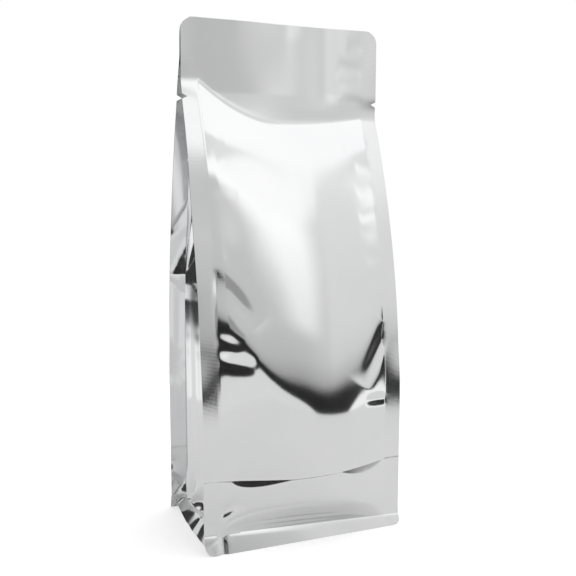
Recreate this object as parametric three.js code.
// A filled flat-bottom bag of metallised film, standing shut.
// The front and back panels are welded to two side gussets along four upright seal bands, which stand out
// as thin fins. A fifth panel closes the bottom inside a flared skirt of welded film.
// X runs across the bag, +Y runs from its front to its back, +Z is up. The origin is on the floor.

import * as THREE from 'three';

// Driving dimensions, in millimetres
const WIDTH = 140;
const HEIGHT = 340;
const SKIRT_DEPTH = 96;
const BODY_DEPTH = 85;
const BELLY_DEPTH = 107;
const SEAL_BAND = 11.5;
const SEAL_THICKNESS = 0.6;
const HEADER_HEIGHT = 50;
const SKIRT_HEIGHT = 12;
const SIDE_SKIRT_HEIGHT = 8;
const SKIRT_INSET = 4;
const TOP_CORNER = 9;
const BOTTOM_CORNER = 5.5;
const NOTCH_DEPTH = 3.5;
const NOTCH_HALF_HEIGHT = 1.8;
const GUSSET_FILM = 86.4;

// Heights at which the form changes
const NOTCH_HEIGHT = HEIGHT - HEADER_HEIGHT;
const FRONT_FULL_HEIGHT = 90;
const FRONT_CLOSED_HEIGHT = 292;
const BACK_FULL_HEIGHT = 100;
const BACK_CLOSED_HEIGHT = 318;
const BELLY_HEIGHT = 62;
const BELLY_TOP = 283;
const FOLD_HEIGHT = 46;
const STAR_HEIGHT = 176;
const STAR_LAG = 30;
const STAR_PINCH = 4;
const STAR_SPREAD = 12;
const FOLDED_IN_HEIGHT = 232;

// Smaller shape values
const FRONT_ARCH_POWER = 2.25;
const BACK_ARCH_POWER = 2;
const BELLY_POWER = 1.75;
const CROWN_POWER = 2.2;
const WAIST_DRAW = 1.5;
const FLARE_POWER = 1.3;
const HEADER_HALF_GAP = 1.2;
const BLEND = 3;
const FOLD_DEPTH = 1.4;
const FOLD_REACH = 8;
const TUCK_HEIGHT = 15;
const TUCK_ROUND = 0.9;
const GUSSET_BOW = 10;
const GUSSET_TUCK = 13;
const HEADER_FOLD = 18;
const TOP_WELD = 0.5;
const FLAT_INSET = 11.5;

// How finely each face is divided
const PANEL_COLUMNS = 20;
const GUSSET_COLUMNS = 12;
const SPANS = [
  [0, BOTTOM_CORNER, 3],
  [BOTTOM_CORNER, SKIRT_HEIGHT, 2],
  [SKIRT_HEIGHT, FOLD_HEIGHT, 7],
  [FOLD_HEIGHT, FRONT_FULL_HEIGHT, 6],
  [FRONT_FULL_HEIGHT, STAR_HEIGHT, 8],
  [STAR_HEIGHT, FOLDED_IN_HEIGHT, 8],
  [FOLDED_IN_HEIGHT, NOTCH_HEIGHT - NOTCH_HALF_HEIGHT, 7],
  [NOTCH_HEIGHT - NOTCH_HALF_HEIGHT, NOTCH_HEIGHT + NOTCH_HALF_HEIGHT, 2],
  [NOTCH_HEIGHT + NOTCH_HALF_HEIGHT, HEIGHT - TOP_CORNER, 4],
  [HEIGHT - TOP_CORNER, HEIGHT - TOP_WELD, 4],
];

const HALF_WIDTH = WIDTH / 2;
const ROOT = HALF_WIDTH - SEAL_BAND;
const FLARE = (SKIRT_DEPTH - BODY_DEPTH) / 2 + WAIST_DRAW;
const STEPS_PER_MM = 1e4;

const mix = THREE.MathUtils.lerp;
const ease = (t) => THREE.MathUtils.smoothstep(t, 0, 1);
const climb = (value, from, to) => Math.max((value - from) / (to - from), 0);
const part = (value, from, to) => Math.min(climb(value, from, to), 1);
const softMax = (a, b) => (a + b + Math.hypot(a - b, BLEND)) / 2;

// The skirt leans out from the foot of the panels and gussets to the floor
function skirtLean(z, reach, height) {
  return reach * (1 - part(z, 0, height)) ** FLARE_POWER;
}

// Distance of a seal band from the middle plane: full below, arching in to the flat header
function sealDistance(z, fullHeight, closedHeight, power) {
  const full = BODY_DEPTH / 2;
  const arch = full * (1 - climb(z, fullHeight, closedHeight) ** power);
  const drawnIn = WAIST_DRAW * (1 - ease(part(z, 0, fullHeight)));
  return softMax(arch - drawnIn, HEADER_HALF_GAP) + skirtLean(z, FLARE, SKIRT_HEIGHT);
}

const frontSeal = (z) => sealDistance(z, FRONT_FULL_HEIGHT, FRONT_CLOSED_HEIGHT, FRONT_ARCH_POWER);
const backSeal = (z) => sealDistance(z, BACK_FULL_HEIGHT, BACK_CLOSED_HEIGHT, BACK_ARCH_POWER);

// Distance of a panel's middle line from the middle plane, with the crease left by folding the bottom flat
function bellyDistance(z) {
  const arch = (BELLY_DEPTH / 2) * (1 - climb(z, BELLY_HEIGHT, BELLY_TOP) ** BELLY_POWER);
  const crease = FOLD_DEPTH * Math.max(0, 1 - Math.abs(z - FOLD_HEIGHT) / FOLD_REACH);
  return softMax(arch - crease, HEADER_HALF_GAP);
}

// Panels tuck in to the skirt, over a height that shrinks to nothing at the two corners
function tuck(across, z) {
  const height = TUCK_HEIGHT * Math.sqrt(1 - TUCK_ROUND * across ** 2);
  return Math.sin((Math.PI / 2) * part(z, SKIRT_HEIGHT, SKIRT_HEIGHT + height));
}

function panelDistance(x, z, seal) {
  const across = Math.min(Math.abs(x) / ROOT, 1);
  const crown = (1 - across ** CROWN_POWER) * tuck(across, z);
  return seal + (bellyDistance(z) - seal) * crown;
}

// How far a gusset's centre line stands outside the seal roots: bowed out below, folded in above the star
function gussetReach(z) {
  const halfGap = (frontSeal(z) + backSeal(z)) / 2;
  const halfFilm = GUSSET_FILM / 2;
  const deepest = mix(halfFilm, HEADER_FOLD, ease(part(z, FOLDED_IN_HEIGHT, NOTCH_HEIGHT)));
  const folded = -Math.min(Math.sqrt(Math.max(halfFilm ** 2 - halfGap ** 2, 0)), deepest);
  const filled = part(z, SIDE_SKIRT_HEIGHT, SIDE_SKIRT_HEIGHT + GUSSET_TUCK);
  const bowed = GUSSET_BOW * Math.sin((Math.PI / 2) * filled);
  return mix(bowed, folded, part(z, STAR_HEIGHT, FOLDED_IN_HEIGHT));
}

// Side faces: the gusset's place across its own width runs from -1 at the front root to 1 at the back root
function gussetX(along, z) {
  const fromMiddle = Math.abs(along);
  const lag = STAR_LAG * fromMiddle * part(z, FRONT_FULL_HEIGHT, STAR_HEIGHT);
  const fromStar = Math.hypot((fromMiddle * GUSSET_FILM) / 2, z - STAR_HEIGHT);
  const pinch = STAR_PINCH * Math.max(0, 1 - fromStar / STAR_SPREAD);
  const hem = mix(HALF_WIDTH - SKIRT_INSET, halfWidth(0), fromMiddle ** 2);
  const lean = skirtLean(z, hem - ROOT, SIDE_SKIRT_HEIGHT);
  return ROOT + lean - pinch + (1 - fromMiddle) * gussetReach(z - lag);
}

// Outer edge of the seal bands: rounded at the four corners, with a tear notch below the header
function halfWidth(z) {
  const top = Math.max(z - (HEIGHT - TOP_CORNER), 0);
  const bottom = Math.max(BOTTOM_CORNER - z, 0);
  const topCut = TOP_CORNER - Math.sqrt(TOP_CORNER ** 2 - top ** 2);
  const bottomCut = BOTTOM_CORNER - Math.sqrt(BOTTOM_CORNER ** 2 - bottom ** 2);
  const notch = NOTCH_DEPTH * Math.max(0, 1 - Math.abs(z - NOTCH_HEIGHT) / NOTCH_HALF_HEIGHT);
  return HALF_WIDTH - topCut - bottomCut - notch;
}

const evenly = (count, from, to) => Array.from({ length: count + 1 }, (_, i) => mix(from, to, i / count));

// One face of the bag from its left free edge to its right one
function panelRow(z, seal, edge) {
  const inner = evenly(PANEL_COLUMNS, -ROOT, ROOT);
  return [-edge, ...inner, edge].map((x) => new THREE.Vector2(x, panelDistance(x, z, seal)));
}

// One side of the bag, from the front fin's inner face round the gusset to the back fin's inner face
function sideRow(z, front, back, edge) {
  const inside = [front - SEAL_THICKNESS, back - SEAL_THICKNESS];
  const gusset = evenly(GUSSET_COLUMNS, -1, 1).map((along) => {
    return new THREE.Vector2(gussetX(along, z), mix(-inside[0], inside[1], (along + 1) / 2));
  });
  return [new THREE.Vector2(edge, -inside[0]), ...gusset, new THREE.Vector2(edge, inside[1])];
}

// A closed loop round the bag at one height, anticlockwise from above
function loopOf(front, side, back, z) {
  const loop = [
    ...front.map((p) => [p.x, -p.y]),
    ...side.map((p) => [p.x, p.y]),
    ...back.map((p) => [-p.x, p.y]),
    ...side.map((p) => [-p.x, p.y]).reverse(),
  ];
  return loop.map(([x, y]) => new THREE.Vector3(x, y, z));
}

function bodyLoop(z) {
  const front = frontSeal(z);
  const back = backSeal(z);
  const edge = halfWidth(z);
  return loopOf(panelRow(z, front, edge), sideRow(z, front, back, edge), panelRow(z, back, edge), z);
}

// A loop of the underside: the hem drawn in by these amounts at its sides and at its front and back
function underLoop(insetX, insetY, z) {
  const scaleX = 1 - insetX / (HALF_WIDTH - SKIRT_INSET);
  const scaleY = 1 - insetY / (SKIRT_DEPTH / 2);
  return bodyLoop(0).map(({ x, y }) => new THREE.Vector3(x * scaleX, y * scaleY, z));
}

// The top edge: both faces and the folded gussets meet in one welded line
function topLoop() {
  const edge = halfWidth(HEIGHT);
  const middle = (backSeal(HEIGHT) - frontSeal(HEIGHT)) / 2;
  const row = panelRow(HEIGHT, 0, edge);
  const side = sideRow(HEIGHT, 0, 0, edge).map(() => new THREE.Vector2(edge, middle));
  const front = row.map((p) => new THREE.Vector2(p.x, -middle));
  const back = row.map((p) => new THREE.Vector2(p.x, middle));
  return loopOf(front, side, back, HEIGHT);
}

// From the flat of the bottom panel up to its seam, down inside the skirt to the hem and up the body
function allLoops() {
  const seamX = SEAL_BAND - SKIRT_INSET + SEAL_THICKNESS;
  const seamY = FLARE + SEAL_THICKNESS;
  const under = [
    underLoop(HALF_WIDTH - SKIRT_INSET, SKIRT_DEPTH / 2, 0),
    underLoop(seamX + FLAT_INSET, seamY + FLAT_INSET, 0),
    underLoop(seamX + FLAT_INSET / 2, seamY + FLAT_INSET / 2, SIDE_SKIRT_HEIGHT / 4),
    underLoop(seamX, seamY, SIDE_SKIRT_HEIGHT - SEAL_THICKNESS),
    underLoop(SEAL_THICKNESS, SEAL_THICKNESS, 0),
  ];
  const heights = SPANS.flatMap(([from, to, steps]) => evenly(steps, from, to).slice(0, -1));
  return [...under, ...[...heights, HEIGHT - TOP_WELD].map(bodyLoop), topLoop()];
}

// Joins the loops into one closed skin, sharing every vertex that two loops have in common
function skinOf(loops) {
  const places = [];
  const numbers = new Map();
  const triangles = [];

  function numberOf(point) {
    const key = point.toArray().map((value) => Math.round(value * STEPS_PER_MM)).join();
    if (!numbers.has(key)) {
      numbers.set(key, places.length / 3);
      places.push(point.x, point.y, point.z);
    }
    return numbers.get(key);
  }

  function addTriangle(a, b, c) {
    if (a !== b && b !== c && c !== a) {
      triangles.push(a, b, c);
    }
  }

  const rows = loops.map((loop) => loop.map(numberOf));
  for (let level = 0; level + 1 < rows.length; level += 1) {
    const [low, high] = [rows[level], rows[level + 1]];
    low.forEach((start, i) => {
      const next = (i + 1) % low.length;
      addTriangle(start, low[next], high[next]);
      addTriangle(start, high[next], high[i]);
    });
  }

  const skin = new THREE.BufferGeometry();
  skin.setAttribute('position', new THREE.Float32BufferAttribute(places, 3));
  skin.setIndex(triangles);
  skin.computeVertexNormals();
  return skin;
}

const foil = new THREE.MeshStandardMaterial({ color: 0xdfe1e4, metalness: 1, roughness: 0.18 });

const bag = new THREE.Mesh(skinOf(allLoops()), foil);
bag.name = 'bag';

const model = new THREE.Group();
model.add(bag);

export default model;
